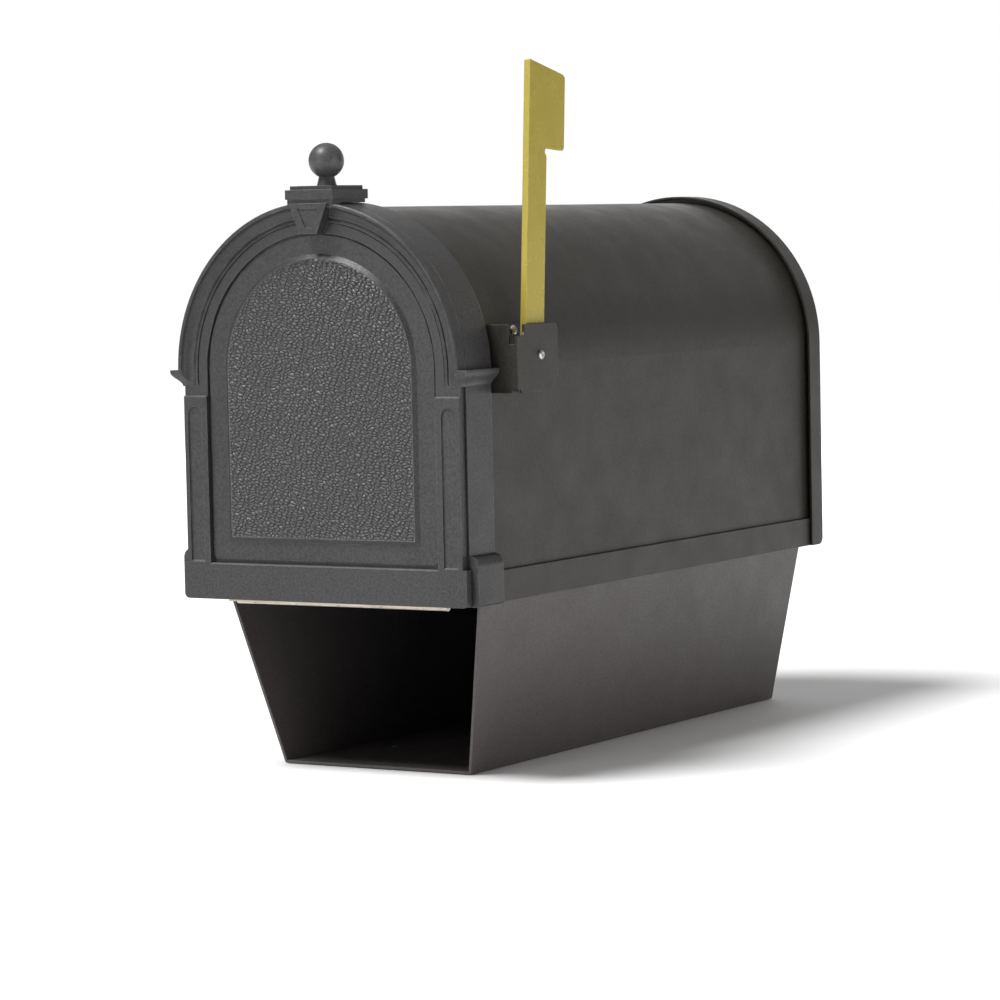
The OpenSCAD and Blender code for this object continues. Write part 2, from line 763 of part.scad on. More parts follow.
cap_base_z = key_head_z + 2.8;
cap_step_h = 2.6;
cap_step = 2.5;
cap_front = -7.5;
cap_neck_in = 1;              // how far the neck under the block lies inside it at the front and the sides
cap_neck_back = 2;            // and at the back
cap_neck_sink = 3;            // how far that neck reaches down behind the keystone's head

// Cap block over the keystone: it reaches back over the collar's arch with a gap
module cap_block() {
    difference() {
        union() {
            along_y(cap_front, cap_back)
                translate([-cap_w / 2, cap_base_z]) square([cap_w, cap_h - cap_step_h]);
            along_y(cap_front + cap_step, cap_back - cap_step)
                translate([-cap_w / 2 + cap_step, cap_base_z + cap_h - cap_step_h - eps])
                    square([cap_w - 2 * cap_step, cap_step_h + eps]);
            along_y(cap_front + cap_neck_in, cap_back - cap_neck_back)
                translate([-cap_w / 2 + cap_neck_in, key_head_z - cap_neck_sink])
                    square([cap_w - 2 * cap_neck_in, cap_base_z - key_head_z + cap_neck_sink + eps]);
        }
        // the collar's arch passes under the block
        along_y(back_y, cap_back + 1) circle(front_r + cap_gap, $fn = 180);
        finial_place() translate([0, 0, -30]) cylinder(r = stud_r + hole_clear, h = 60, $fn = 32);
        // pocket for the nut under the block
        finial_place() translate([0, 0, -cap_h - 4])
            cylinder(r = nut_pocket_r, h = 4 + cap_h - stud_grip, $fn = 48);
    }
}

finial_y = (cap_front + cap_back) / 2 + 0.75;
cap_top_z = cap_base_z + cap_h;
stud_r = 2;
stud_grip = 5;
nut_pocket_r = 4.4;
module finial_place() translate([0, finial_y, cap_top_z]) children();

// Ball on a tapered neck, with a threaded stud
module finial_knob() color(cast_coat) place() finial_place() {
    ball_r = ball_d / 2;
    neck_top_r = 5.2;
    neck_foot_r = 6.8;
    neck_top = ball_rise - sqrt(ball_r * ball_r - neck_top_r * neck_top_r) + 0.3;
    translate([0, 0, ball_rise]) sphere(ball_r, $fn = 96);
    cylinder(r1 = neck_foot_r, r2 = neck_top_r, h = neck_top);
    translate([0, 0, neck_top - eps]) cylinder(r = neck_top_r, h = 2);
    translate([0, 0, -stud_grip - 3]) cylinder(r = stud_r, h = stud_grip + 4, $fn = 32);
}

finial_nut_h = 2.2;
module finial_nut() color(zinc) place() finial_place()
    translate([0, 0, -stud_grip - finial_nut_h]) hex_nut(stud_r, 7, finial_nut_h);

strike_w = 40;
strike_h = 12;
strike_t = 1;
strike_z = recess_r - 8;
strike_screw_x = 15;
strike_grip = 2.4;

module strike_stations() {
    both_sides() translate([strike_screw_x, door_back_y + strike_t, strike_z]) rotate([90, 0, 0]) children();
}

door_back_y = door_t + 1;    // back of the panel inside the collar's mouth
return_l = hinge_y - leaf_edge - 1;
return_t = 4.5;
return_over = 2;             // how far the return runs past each end of the hinge

module door_casting() color(cast_coat) place() {
    difference() {
        union() {
            arch_moulding();
            both_sides() capital();
            both_sides() pilaster();
            // bottom rail
            difference() {
                along_y(-pilaster_fwd, back_y) rail_outline();
                ease_ledge(-recess_r, recess_r, rail_top);
            }
            // floor of the recess, margin of the panel and textured field
            along_y(recess_d, door_back_y) {
                circle(recess_r + eps, $fn = 180);
                translate([-recess_r - eps, rail_top - 4]) square([2 * (recess_r + eps), 4 - rail_top]);
            }
            along_y(margin_back, recess_d + 0.2) panel_outline(0);
            field();
            keystone();
            cap_block();
            // return along the lower edge, which carries the hinge
            along_y(0, return_l)
                translate([hinge_x0 - return_over, base_z]) square([hinge_l + 2 * return_over, return_t]);
        }
        // pocket behind the field
        along_y(skin_t - field_fwd, door_back_y + 1) field_outline(bevel_w + 2);
        door_screw_stations() drill(leaf_t + door_grip + blind, hinge_screw_r + hole_clear);
        strike_stations() drill(strike_t + strike_grip + blind, hinge_screw_r + hole_clear);
    }
}

// Steel plate on the door's back that the magnet holds
module strike_plate() color(zinc) place() {
    difference() {
        along_y(door_back_y, door_back_y + strike_t)
            translate([-strike_w / 2, strike_z - strike_h / 2]) square([strike_w, strike_h]);
        strike_stations() drill(strike_t + 1, hinge_screw_r + hole_clear);
    }
}

module strike_screws() color(zinc) place() strike_stations() hinge_screw(strike_t + strike_grip);

// ---------- Magnetic catch under the crown of the body ----------
catch_gap = 0.3;              // between the magnet and the strike plate
magnet_y = door_back_y + strike_t + catch_gap;
magnet_w = 18;
magnet_h = 10;
magnet_l = 8.7;
catch_w = 22;
catch_t = 1.5;
catch_l = 26;                 // length of the bracket's upper leg
catch_front = shell_front + 1;
catch_leg_y = magnet_y + magnet_l;
catch_screw_len = catch_t + 4;

module catch_screw_place() translate([0, catch_leg_y + catch_t, strike_z]) rotate([90, 0, 0]) children();

// Its curved upper leg is spot-welded to the underside of the crown
module catch_bracket() color(zinc) place() {
    difference() {
        union() {
            along_y(catch_front, catch_front + catch_l) intersection() {
                arch_band(shell_r, catch_t, -1);
                translate([-catch_w / 2, 0]) square([catch_w, front_r]);
            }
            along_y(catch_leg_y, catch_leg_y + catch_t) intersection() {
                translate([-catch_w / 2, strike_z - magnet_h / 2 - 1]) square([catch_w, front_r]);
                circle(shell_r - catch_t / 2, $fn = 180);
            }
        }
        catch_screw_place() drill(catch_t + 1, hinge_screw_r + hole_clear);
    }
}

module catch_magnet() color(ferrite) place() {
    difference() {
        along_y(magnet_y, catch_leg_y)
            translate([-magnet_w / 2, strike_z - magnet_h / 2]) square([magnet_w, magnet_h]);
        catch_screw_place() drill(catch_screw_len + blind, hinge_screw_r + hole_clear);
    }
}

module catch_screw() color(zinc) place() catch_screw_place() hinge_screw(catch_screw_len);

// ---------- Flag bracket ----------
bracket_x = body_r + bracket_out;          // outer face of the bracket
bracket_in = body_r + bracket_t;           // outer face of the flange that lies on the body
bracket_rear = bracket_front + bracket_l;
bracket_foot = bracket_top - bracket_h;
bracket_screw_y = bracket_front + bracket_screw_back;
bracket_screw_z = -10;                     // lower screw, on the straight side
bracket_screw_a = 12.5;                    // upper screw, on the arch
bracket_nut_h = 2.4;
bracket_screw_len = bracket_t + shell_t + bracket_nut_h + 1;

module bracket_stations() {
    translate([shell_r, bracket_screw_y, bracket_screw_z]) rotate([0, 90, 0]) children();
    arch_station(bracket_screw_a, bracket_screw_y) children();
}

// Outline of the outer plate, in y and z
module bracket_plate() {
    r = bracket_corner_r;
    step_l = 5.5;
    step_h = 9.5;
    notch_z = bracket_top - bracket_notch * 0.8;
    difference() {
        union() {
            translate([bracket_front, bracket_foot]) square([bracket_l - r, bracket_h]);
            translate([bracket_front, bracket_foot]) square([bracket_l, bracket_h - r]);
            translate([bracket_rear - r, bracket_top - r]) circle(r, $fn = 48);
        }
        // notch in the upper front corner, with a rounded inner corner
        translate([bracket_front - 1, notch_z + r]) square([bracket_notch + 1, bracket_notch]);
        translate([bracket_front - 1, notch_z]) square([bracket_notch + 1 - r, bracket_notch]);
        translate([bracket_front + bracket_notch - r, notch_z + r]) circle(r, $fn = 48);
        // step in the lower rear corner, whose own lower corner is cut off at a slant
        translate([bracket_rear - step_l, bracket_foot - 1]) square([step_l + 1, step_h + 1]);
        translate([bracket_rear - step_l, bracket_foot]) rotate([0, 0, 45]) square(1.4 * r, center = true);
        translate([bracket_front, bracket_foot]) rotate([0, 0, 45]) square(2 * r, center = true);
    }
}

module flag_bracket() color(powder_coat) place() {
    web_notch_w = 6.4;
    web_notch_h = 13;
    web_corner_w = 9;
    difference() {
        union() {
            along_x(bracket_x - bracket_t, bracket_x) bracket_plate();
            along_y(bracket_front, bracket_front + bracket_t) difference() {
                translate([body_r - 8, bracket_foot]) square([bracket_x - body_r + 8 - eps, bracket_h]);
                arch(body_r, 2 * bracket_foot);
                translate([bracket_x - web_notch_w, bracket_top - web_notch_h])
                    square([web_notch_w + 1, web_notch_h + 1]);
            }
            along_y(bracket_front, bracket_rear) intersection() {
                arch_band(bracket_in, bracket_t, 2 * bracket_foot);
                translate([0, bracket_foot]) square([bracket_x, bracket_h]);
            }
        }
        // the web's lower outer corner follows the plate's
        translate([bracket_x, bracket_front, bracket_foot]) rotate([45, 0, 0])
            cube([web_corner_w, bracket_corner_r, bracket_corner_r], center = true);
        bracket_stations() drill(shell_t + bracket_t + 1);
        pivot_place() drill(bracket_t + 1, pivot_r + hole_clear);
    }
}

module bracket_screws() color(zinc) place()
    bracket_stations() translate([0, 0, shell_t + bracket_t + arch_seat])
        mirror([0, 0, 1]) pan_screw(bracket_screw_len);

module bracket_nuts() color(zinc) place()
    bracket_stations() translate([0, 0, -bracket_nut_h]) hex_nut(screw_r, 6, bracket_nut_h);

// ---------- Flag and its pivot ----------
side_gap = 0.1;                            // axial play beside the flag
spacer_t = 2.3;
washer_t = 1.4;
washer_r = 5;
pivot_nut_h = 4.4;
pivot_head_r = 3.1;
pivot_head_h = 2;
flag_x = bracket_x - bracket_t - spacer_t - side_gap - flag_t;   // inner face of the flag's sheet
pivot_len = bracket_x - flag_x + side_gap + washer_t + pivot_nut_h + 0.6;

// On the pivot's axis at the bracket's outer face, with +z pointing inwards
module pivot_place() translate([bracket_x, pivot_y, pivot_z]) rotate([0, -90, 0]) children();

module flag_pivot_screw() color(zinc) place()
    pivot_place() pan_screw(pivot_len, pivot_r, pivot_head_r, pivot_head_h);

module flag_pivot_nut() color(zinc) place()
    pivot_place() translate([0, 0, pivot_len - 0.6 - pivot_nut_h]) hex_nut(pivot_r, 7, pivot_nut_h);

module washer(t) difference() {
    cylinder(r = washer_r, h = t);
    translate([0, 0, -1]) cylinder(r = pivot_r + hole_clear, h = t + 2, $fn = 48);
}

module flag_washers() color(zinc) place() pivot_place() {
    translate([0, 0, bracket_t]) washer(spacer_t);
    translate([0, 0, bracket_x - flag_x + side_gap]) washer(washer_t);
}

// Outline of the flag about its pivot, in y (to the rear) and z: an arm with a round tail, and a blade
// with rounded rear corners over a relief cut in the arm's edge
module flag_outline() {
    half = arm_w / 2;
    r = blade_corner_r;
    rear = blade_w - half;
    blade_foot = flag_l - blade_h;
    difference() {
        union() {
            translate([0, half - arm_tail]) circle(half, $fn = 96);
            polygon([[-half, half - arm_tail], [half, half - arm_tail], [half, blade_foot],
                     [rear - r, blade_foot], [rear, blade_foot + r], [rear, flag_l - blade_slope - r],
                     [rear - r, flag_l - blade_slope * (1 - r / blade_w)], [-half, flag_l]]);
            translate([rear - r, blade_foot + r]) circle(r, $fn = 48);
            translate([rear - r, flag_l - blade_slope - r]) circle(r, $fn = 48);
        }
        translate([half, blade_foot - relief_w]) circle(relief_w, $fn = 48);
        polygon([[half - relief_w, blade_foot - relief_w], [half + 1, blade_foot - relief_w],
                 [half + 1, blade_foot - relief_h], [half, blade_foot - relief_h]]);
    }
}

module flag() color(gold) place()
    translate([0, pivot_y, pivot_z]) rotate([-flag_lean, 0, 0]) difference() {
        union() {
            along_x(flag_x, flag_x + flag_t) flag_outline();
            // flange along the front edge, bent towards the body
            translate([flag_x + flag_t - flag_lip, -arm_w / 2, arm_w / 2 - arm_tail])
                cube([flag_lip, flag_t, flag_l - arm_w / 2 + arm_tail - 0.3]);
        }
        translate([flag_x - 1, 0, 0]) rotate([0, 90, 0])
            cylinder(r = pivot_r + run_clear, h = flag_t + 2, $fn = 48);
    }

body_shell();
floor_pan();
front_collar();
rear_cover();
paper_tube();
tube_rear_panel();
collar_screws();
rear_cover_screws();
pan_screws();
sill_screws();
tube_rivets();
hinge_frame_leaf();
hinge_pin();
hinge_frame_screws();
catch_bracket();
catch_magnet();
catch_screw();
flag_bracket();
bracket_screws();
bracket_nuts();
flag_pivot_screw();
flag_pivot_nut();
flag_washers();
door_casting();
hinge_door_leaf();
hinge_door_screws();
finial_knob();
finial_nut();
strike_plate();
strike_screws();
flag();
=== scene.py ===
"""Curbside mailbox with an arched door, a side flag and a newspaper tube: materials, surface detail, light
and camera around the CAD frame. Everything is in metres, in the frame of the part."""
import math

import bpy
import numpy as np
from mathutils import Matrix, Vector


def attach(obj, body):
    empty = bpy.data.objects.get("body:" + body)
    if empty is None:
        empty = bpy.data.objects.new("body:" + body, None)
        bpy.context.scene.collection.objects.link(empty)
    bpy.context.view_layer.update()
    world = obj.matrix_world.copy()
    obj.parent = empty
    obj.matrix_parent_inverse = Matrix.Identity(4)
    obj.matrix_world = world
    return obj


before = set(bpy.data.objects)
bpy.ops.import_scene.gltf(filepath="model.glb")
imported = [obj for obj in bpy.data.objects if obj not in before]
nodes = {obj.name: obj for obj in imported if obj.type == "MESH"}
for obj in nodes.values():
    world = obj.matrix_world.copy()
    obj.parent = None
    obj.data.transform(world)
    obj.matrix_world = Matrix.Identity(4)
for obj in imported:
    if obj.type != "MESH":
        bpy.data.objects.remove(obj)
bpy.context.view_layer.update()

MM = 0.001


# ---------- Node helpers ----------
class Tree:
    """A small wrapper that adds shader nodes and links them."""

    def __init__(self, name):
        self.material = bpy.data.materials.new(name)
        self.material.use_nodes = True
        self.tree = self.material.node_tree
        self.tree.nodes.clear()
        self.output = self.tree.nodes.new("ShaderNodeOutputMaterial")
        self.shader = self.tree.nodes.new("ShaderNodeBsdfPrincipled")
        self.link(self.shader.outputs[0], self.output.inputs["Surface"])
        self.coords = self.tree.nodes.new("ShaderNodeTexCoord").outputs["Object"]

    def link(self, source, target):
        self.tree.links.new(source, target)

    def feed(self, socket, value):
        """Puts a number, a colour or another node's output on a socket."""
        if isinstance(value, bpy.types.NodeSocket):
            self.link(value, socket)
        else:
            socket.default_value = value

    def noise(self, scale, detail=3.0, roughness=0.5, stretch=None):
        node = self.tree.nodes.new("ShaderNodeTexNoise")
        node.inputs["Scale"].default_value = scale
        node.inputs["Detail"].default_value = detail
        node.inputs["Roughness"].default_value = roughness
        self.link(self.stretched(stretch) if stretch else self.coords, node.inputs["Vector"])
        return node.outputs["Fac"]

    def cells(self, scale):
        node = self.tree.nodes.new("ShaderNodeTexVoronoi")
        node.inputs["Scale"].default_value = scale
        self.link(self.coords, node.inputs["Vector"])
        return node.outputs["Distance"]

    def stretched(self, scale):
        node = self.tree.nodes.new("ShaderNodeMapping")
        node.inputs["Scale"].default_value = scale
        self.link(self.coords, node.inputs["Vector"])
        return node.outputs["Vector"]

    def remap(self, value, low, high, to_low, to_high):
        node = self.tree.nodes.new("ShaderNodeMapRange")
        self.feed(node.inputs["Value"], value)
        for name, number in (("From Min", low), ("From Max", high), ("To Min", to_low), ("To Max", to_high)):
            node.inputs[name].default_value = number
        return node.outputs["Result"]

    def maths(self, operation, a, b):
        node = self.tree.nodes.new("ShaderNodeMath")
        node.operation = operation
        self.feed(node.inputs[0], a)
        self.feed(node.inputs[1], b)
        return node.outputs[0]

    def mix(self, amount, a, b):
        node = self.tree.nodes.new("ShaderNodeMix")
        node.data_type = "RGBA"
        self.feed(node.inputs["Factor"], amount)
        self.feed(node.inputs["A"], a)
        self.feed(node.inputs["B"], b)
        return node.outputs["Result"]

    def bump(self, height, distance, strength, normal=None):
        node = self.tree.nodes.new("ShaderNodeBump")
        node.inputs["Strength"].default_value = strength
        node.inputs["Distance"].default_value = distance
        self.link(height, node.inputs["Height"])
        if normal is not None:
            self.link(normal, node.inputs["Normal"])
        return node.outputs["Normal"]

    def rounded(self, radius):
        """Normals of an edge rounded to that radius."""
        node = self.tree.nodes.new("ShaderNodeBevel")
        node.samples = 4
        node.inputs["Radius"].default_value = radius
        return node.outputs["Normal"]

    def edges(self, rounded_normal):
        """1 where the rounded normal leaves the true one, which is along the edges, and 0 on the flats."""
        geometry = self.tree.nodes.new("ShaderNodeNewGeometry")
        node = self.tree.nodes.new("ShaderNodeVectorMath")
        node.operation = "DOT_PRODUCT"
        self.link(rounded_normal, node.inputs[0])
        self.link(geometry.outputs["Normal"], node.inputs[1])
        return self.remap(node.outputs["Value"], 0.995, 0.90, 0.0, 1.0)


# ---------- Materials ----------
# Scales of the noises, in cells or waves per metre.
CLOUD = 9.0
SPECKLE = 620.0
RUB_PATCH = 60.0
DUST = 900.0
GLOSS_PATCH = 35.0
GLOSS_FINE = 700.0
COARSE_PEEL = 0.28            # scale of the coarse orange peel, as a share of the fine one's
COARSE_PEEL_SHARE = 0.8
WORN_GLOSS = 0.12             # how much smoother a rubbed edge is


def powder_coat(name, dark, light, wear_and_highlight, roughness, grain, grain_depth, edge_radius, edge_wear_and_highlight):
    """Baked powder coat: fine orange peel, speckle, slow changes of tone, and lighter, smoother edges, whose
    lighter colour is partly wear and partly a painted highlight.
    """
    t = Tree(name)
    cloud = t.noise(CLOUD, 3.0, 0.55)
    speckle = t.noise(SPECKLE, 3.0, 0.65)
    tone = t.maths("ADD", t.remap(cloud, 0.3, 0.7, 0.0, 0.3), t.remap(speckle, 0.35, 0.65, -0.2, 0.9))
    coat = t.mix(tone, (*dark, 1), (*light, 1))
    rounded = t.rounded(edge_radius)
    # Edge band: a lighter colour along the edges, partly wear and partly a painted highlight on the ledges.
    patches = t.remap(t.noise(RUB_PATCH, 4.0, 0.65), 0.42, 0.66, 0.15, 1.0)
    wear = t.maths("MULTIPLY", t.maths("MULTIPLY", t.edges(rounded), patches), edge_wear_and_highlight)
    dust = t.remap(t.cells(DUST), 0.0, 0.09, 0.30, 0.0)
    t.feed(t.shader.inputs["Base Color"], t.mix(wear, t.mix(dust, coat, (*wear_and_highlight, 1)), (*wear_and_highlight, 1)))
    rough = t.maths("ADD", t.remap(t.noise(GLOSS_PATCH, 3.0), 0.3, 0.7, roughness - 0.05, roughness + 0.06),
                    t.remap(t.noise(GLOSS_FINE, 1.0), 0.3, 0.7, -0.03, 0.03))
    t.feed(t.shader.inputs["Roughness"], t.maths("SUBTRACT", rough, t.maths("MULTIPLY", wear, WORN_GLOSS)))
    coarse = t.maths("MULTIPLY", t.noise(grain * COARSE_PEEL, 2.0, 0.5), COARSE_PEEL_SHARE)
    height = t.maths("ADD", t.noise(grain, 3.0, 0.6), coarse)
    t.feed(t.shader.inputs["Normal"], t.bump(height, grain_depth, 0.9, rounded))
    return t.material


def grain_coat(name, valley, face, wear_and_highlight):
    """Powder coat over the cast grain: painted shade darkens the valleys, a painted highlight lightens the
    crowns, and the crowns are glossier.
    """
    t = Tree(name)
    geometry = t.tree.nodes.new("ShaderNodeNewGeometry")
    # Painted shade: low pointiness, the valleys between pebbles, takes the dark colour.
    crown = t.remap(geometry.outputs["Pointiness"], 0.46, 0.56, 0.0, 1.0)
    # Painted highlight: the sharpest crowns take a light colour.
    painted_crown_highlight = t.maths("MULTIPLY", t.remap(geometry.outputs["Pointiness"], 0.53, 0.60, 0.0, 0.55),
                  t.remap(t.noise(GLOSS_PATCH, 4.0, 0.6), 0.35, 0.65, 0.4, 1.0))
    coat = t.mix(crown, (*valley, 1), (*face, 1))
    t.feed(t.shader.inputs["Base Color"], t.mix(painted_crown_highlight, coat, (*wear_and_highlight, 1)))
    t.feed(t.shader.inputs["Roughness"], t.maths("SUBTRACT", t.remap(crown, 0.0, 1.0, 0.50, 0.29),
                                                 t.remap(t.noise(300.0, 2.0), 0.3, 0.7, -0.03, 0.03)))
    t.feed(t.shader.inputs["Normal"], t.bump(t.noise(1300.0, 2.0), 0.02 * MM, 0.4))
    return t.material


def flag_paint():
    """Satin gold paint with a fine metallic fleck and a thin rubbed edge."""
    t = Tree("flag_gold_paint")
    rounded = t.rounded(1.0 * MM)
    fleck = t.remap(t.cells(2600.0), 0.10, 0.55, 1.0, 0.0)
    tone = t.maths("ADD", t.remap(t.noise(12.0, 3.0), 0.3, 0.7, 0.0, 0.6), t.maths("MULTIPLY", fleck, 0.4))
    paint = t.mix(tone, (0.43, 0.345, 0.052, 1), (0.52, 0.422, 0.080, 1))
    wear = t.maths("MULTIPLY", t.edges(rounded), t.remap(t.noise(90.0, 3.0), 0.45, 0.65, 0.0, 0.35))
    t.feed(t.shader.inputs["Base Color"], t.mix(wear, paint, (0.72, 0.66, 0.36, 1)))
    t.feed(t.shader.inputs["Roughness"], t.remap(t.noise(55.0, 3.0), 0.3, 0.7, 0.22, 0.30))
    t.shader.inputs["Metallic"].default_value = 0.25
    t.feed(t.shader.inputs["Normal"], t.bump(t.noise(1500.0, 2.0), 0.03 * MM, 0.6, rounded))
    return t.material


def plated_steel(name, bright, dull, roughness, along):
    """Plated steel with rolling marks along one axis, dull patches and darker specks."""
    t = Tree(name)
    rounded = t.rounded(0.2 * MM)
    stretch = [3.0 if axis == along else 60.0 for axis in range(3)]
    marks = t.noise(28.0, 4.0, 0.6, stretch)
    patch = t.remap(t.noise(45.0, 4.0, 0.6), 0.35, 0.65, 0.0, 1.0)
    speck = t.remap(t.cells(420.0), 0.0, 0.11, 0.7, 0.0)
    colour = t.mix(patch, (*bright, 1), (*dull, 1))
    t.feed(t.shader.inputs["Base Color"], t.mix(speck, colour, (0.16, 0.13, 0.10, 1)))
    t.shader.inputs["Metallic"].default_value = 1.0
    t.feed(t.shader.inputs["Roughness"], t.remap(marks, 0.25, 0.75, roughness - 0.07, roughness + 0.12))
    t.feed(t.shader.inputs["Normal"], t.bump(marks, 0.02 * MM, 0.5, rounded))
    return t.material


def ferrite():
    """Sintered ferrite: dark, matt and finely pitted."""
    t = Tree("ferrite")
    pits = t.cells(1100.0)
    tone = t.remap(t.noise(160.0, 4.0, 0.6), 0.3, 0.7, 0.0, 1.0)
    t.feed(t.shader.inputs["Base Color"], t.mix(tone, (0.030, 0.030, 0.034, 1), (0.060, 0.058, 0.060, 1)))
    t.feed(t.shader.inputs["Roughness"], t.remap(pits, 0.0, 0.6, 0.75, 0.5))
    t.feed(t.shader.inputs["Normal"], t.bump(pits, 0.05 * MM, 0.6, t.rounded(0.3 * MM)))
    return t.material


BODY = powder_coat("body_powder_coat", (0.015, 0.0130, 0.0100), (0.029, 0.0255, 0.0203),
                   (0.090, 0.082, 0.072), 0.46, 1500.0, 0.060 * MM, 0.7 * MM, 0.45)
# Painted light: the tube's coat is lighter than the body's. It stands in for light that reaches its low,
# down-facing sides and its inside.
TUBE_PAINTED_LIGHT = powder_coat("tube_powder_coat_painted_light", (0.062, 0.0550, 0.0540), (0.094, 0.0845, 0.0833),
                   (0.160, 0.145, 0.140), 0.48, 1500.0, 0.060 * MM, 0.7 * MM, 0.40)
# Cast coat: its light edge colour and large edge share are partly a painted highlight on the ledges.
CAST = powder_coat("cast_powder_coat", (0.022, 0.0212, 0.0225), (0.048, 0.0465, 0.0485),
                   (0.230, 0.226, 0.220), 0.42, 1100.0, 0.130 * MM, 0.6 * MM, 0.80)
# Painted highlight: the finial's coat is lighter than the door's cast coat. It stands in for the highlight
# on the ball.
FINIAL_PAINTED_HIGHLIGHT = powder_coat("finial_powder_coat_painted_highlight", (0.050, 0.049, 0.051), (0.074, 0.073, 0.075),
                   (0.150, 0.147, 0.142), 0.40, 1100.0, 0.030 * MM, 0.5 * MM, 0.60)
# Painted shade in the pebble valleys and painted highlight on the crowns; the faces are lighter than the
# cast coat as painted light.
PANEL = grain_coat("panel_powder_coat", (0.017, 0.0167, 0.0173), (0.092, 0.0915, 0.0940),
                   (0.340, 0.339, 0.344))
GOLD = flag_paint()
HINGE = plated_steel("hinge_plated_steel", (0.62, 0.57, 0.49), (0.46, 0.41, 0.34), 0.34, 0)
SCREW = plated_steel("zinc_plated_screw", (0.72, 0.72, 0.70), (0.52, 0.51, 0.47), 0.28, 1)
PLATE = plated_steel("zinc_plated_sheet", (0.66, 0.66, 0.65), (0.50, 0.50, 0.48), 0.36, 0)
FERRITE = ferrite()

FINISH = {
    "body_shell": BODY, "floor_pan": BODY, "rear_cover": BODY, "flag_bracket": BODY,
    "paper_tube": TUBE_PAINTED_LIGHT, "tube_rear_panel": TUBE_PAINTED_LIGHT,
    "front_collar": CAST, "door_casting": CAST, "finial_knob": FINIAL_PAINTED_HIGHLIGHT,
    "hinge_frame_leaf": HINGE, "hinge_door_leaf": HINGE, "hinge_pin": HINGE,
    "catch_bracket": PLATE, "strike_plate": PLATE, "catch_magnet": FERRITE, "flag": GOLD,
}


def finish_nodes():
    """Gives every CAD node its material."""
    for name, piece in nodes.items():
        piece.data.materials.clear()
        piece.data.materials.append(FINISH.get(name, SCREW))


finish_nodes()


# ---------- Pebbled skin of the door's field ----------
FIELD_HALF_W = 74.0 * MM      # half width of the field's flat top
FIELD_RISE = 0.8 * MM         # centre of its arch, above the spring line
FIELD_FOOT = -113.9 * MM      # lower edge, from the spring line
FIELD_FACE = -1.2 * MM        # face of the field, from the door's face plane
SPRING_Z = 277.5 * MM         # height of the body arch's spring line
FACE_Y = -271.0 * MM          # the door's face plane
PEBBLE = 2.5 * MM             # mean spacing of the pebbles
PEBBLE_LONG, PEBBLE_SHORT = 1.65, 0.78    # their length and width, as shares of the spacing
PEBBLE_H = 1.15 * MM          # their height
PEBBLE_LEAN = math.radians(-18)    # slope of their length
VALLEY_W = 0.42               # width of the valleys between them, in cells
CROWN_MEAN, CROWN_SWING = 0.78, 0.22    # their height varies by the swing
CROWN_FALL = 0.35             # how far a crown falls towards its sides
CROWN_WAVE = 6 * MM
WARP, WARP_WAVE = 0.7 * MM, 9 * MM      # how far the rows wander, and over what length
JITTER = 0.12, 0.88           # where a cell's point may lie in it
FIELD_STEP = 0.48 * MM        # mesh spacing of the skin
EDGE_TAPER = 0.9 * MM         # the grain fades out over this distance from the field's edge
SKIN_PROUD, SKIN_SUNK = 0.04 * MM, 0.05 * MM    # the skin's front lies before the face, its back behind it
ARCH_TIP = 1.5 * MM           # half width of the skin's top row
CELL_TABLE = 128              # the jitter repeats after this many cells


def cell_noise(x, z, seed):
    """Distances to the nearest and second nearest points of a jittered grid, one point in each unit cell."""
    rng = np.random.default_rng(seed)
    jitter = rng.uniform(*JITTER, (CELL_TABLE, CELL_TABLE, 2))
    i, k = np.floor(x).astype(int), np.floor(z).astype(int)
    first = np.full(x.shape, 9.0)
    second = np.full(x.shape, 9.0)
    for di in (-1, 0, 1):
        for dk in (-1, 0, 1):
            point = jitter[(i + di) % CELL_TABLE, (k + dk) % CELL_TABLE]
            d = np.hypot(i + di + point[..., 0] - x, k + dk + point[..., 1] - z)
            second = np.minimum(second, np.maximum(first, d))
            first = np.minimum(first, d)
    return first, second


def waves(x, z, seed, length, count=14):
    """Smooth random field in -1 to 1, from a few sine waves of about the given length."""
    rng = np.random.default_rng(seed)
    total = np.zeros_like(x)
    for _ in range(count):
        angle, phase = rng.uniform(0, 2 * math.pi, 2)
        k = 2 * math.pi / (length * rng.uniform(0.7, 1.5))
        total += np.sin(k * (x * math.cos(angle) + z * math.sin(angle)) + phase)
    return total / math.sqrt(count)


def pebbles(x, z):
    """Height of the hide-like grain, 0 to 1: leaning pebbles with rounded crowns between narrow valleys."""
    wx = x + WARP * waves(x, z, 3, WARP_WAVE)
    wz = z + WARP * waves(x, z, 4, WARP_WAVE)
    u = (wx * math.cos(PEBBLE_LEAN) + wz * math.sin(PEBBLE_LEAN)) / (PEBBLE * PEBBLE_LONG)
    v = (-wx * math.sin(PEBBLE_LEAN) + wz * math.cos(PEBBLE_LEAN)) / (PEBBLE * PEBBLE_SHORT)
    first, second = cell_noise(u, v, 11)
    valley = np.clip((second - first) / VALLEY_W, 0, 1)
    crown = valley * valley * (3 - 2 * valley)
    height = CROWN_MEAN + CROWN_SWING * waves(x, z, 5, CROWN_WAVE).clip(-1, 1)
    return crown * height * (1 - CROWN_FALL * first)


def inside_field(x, z):
    """Distance inside the field's edge, positive inside."""
    arch = FIELD_HALF_W - np.hypot(x, np.maximum(z - FIELD_RISE, 0))
    return np.minimum(np.minimum(arch, FIELD_HALF_W - np.abs(x)), z - FIELD_FOOT)


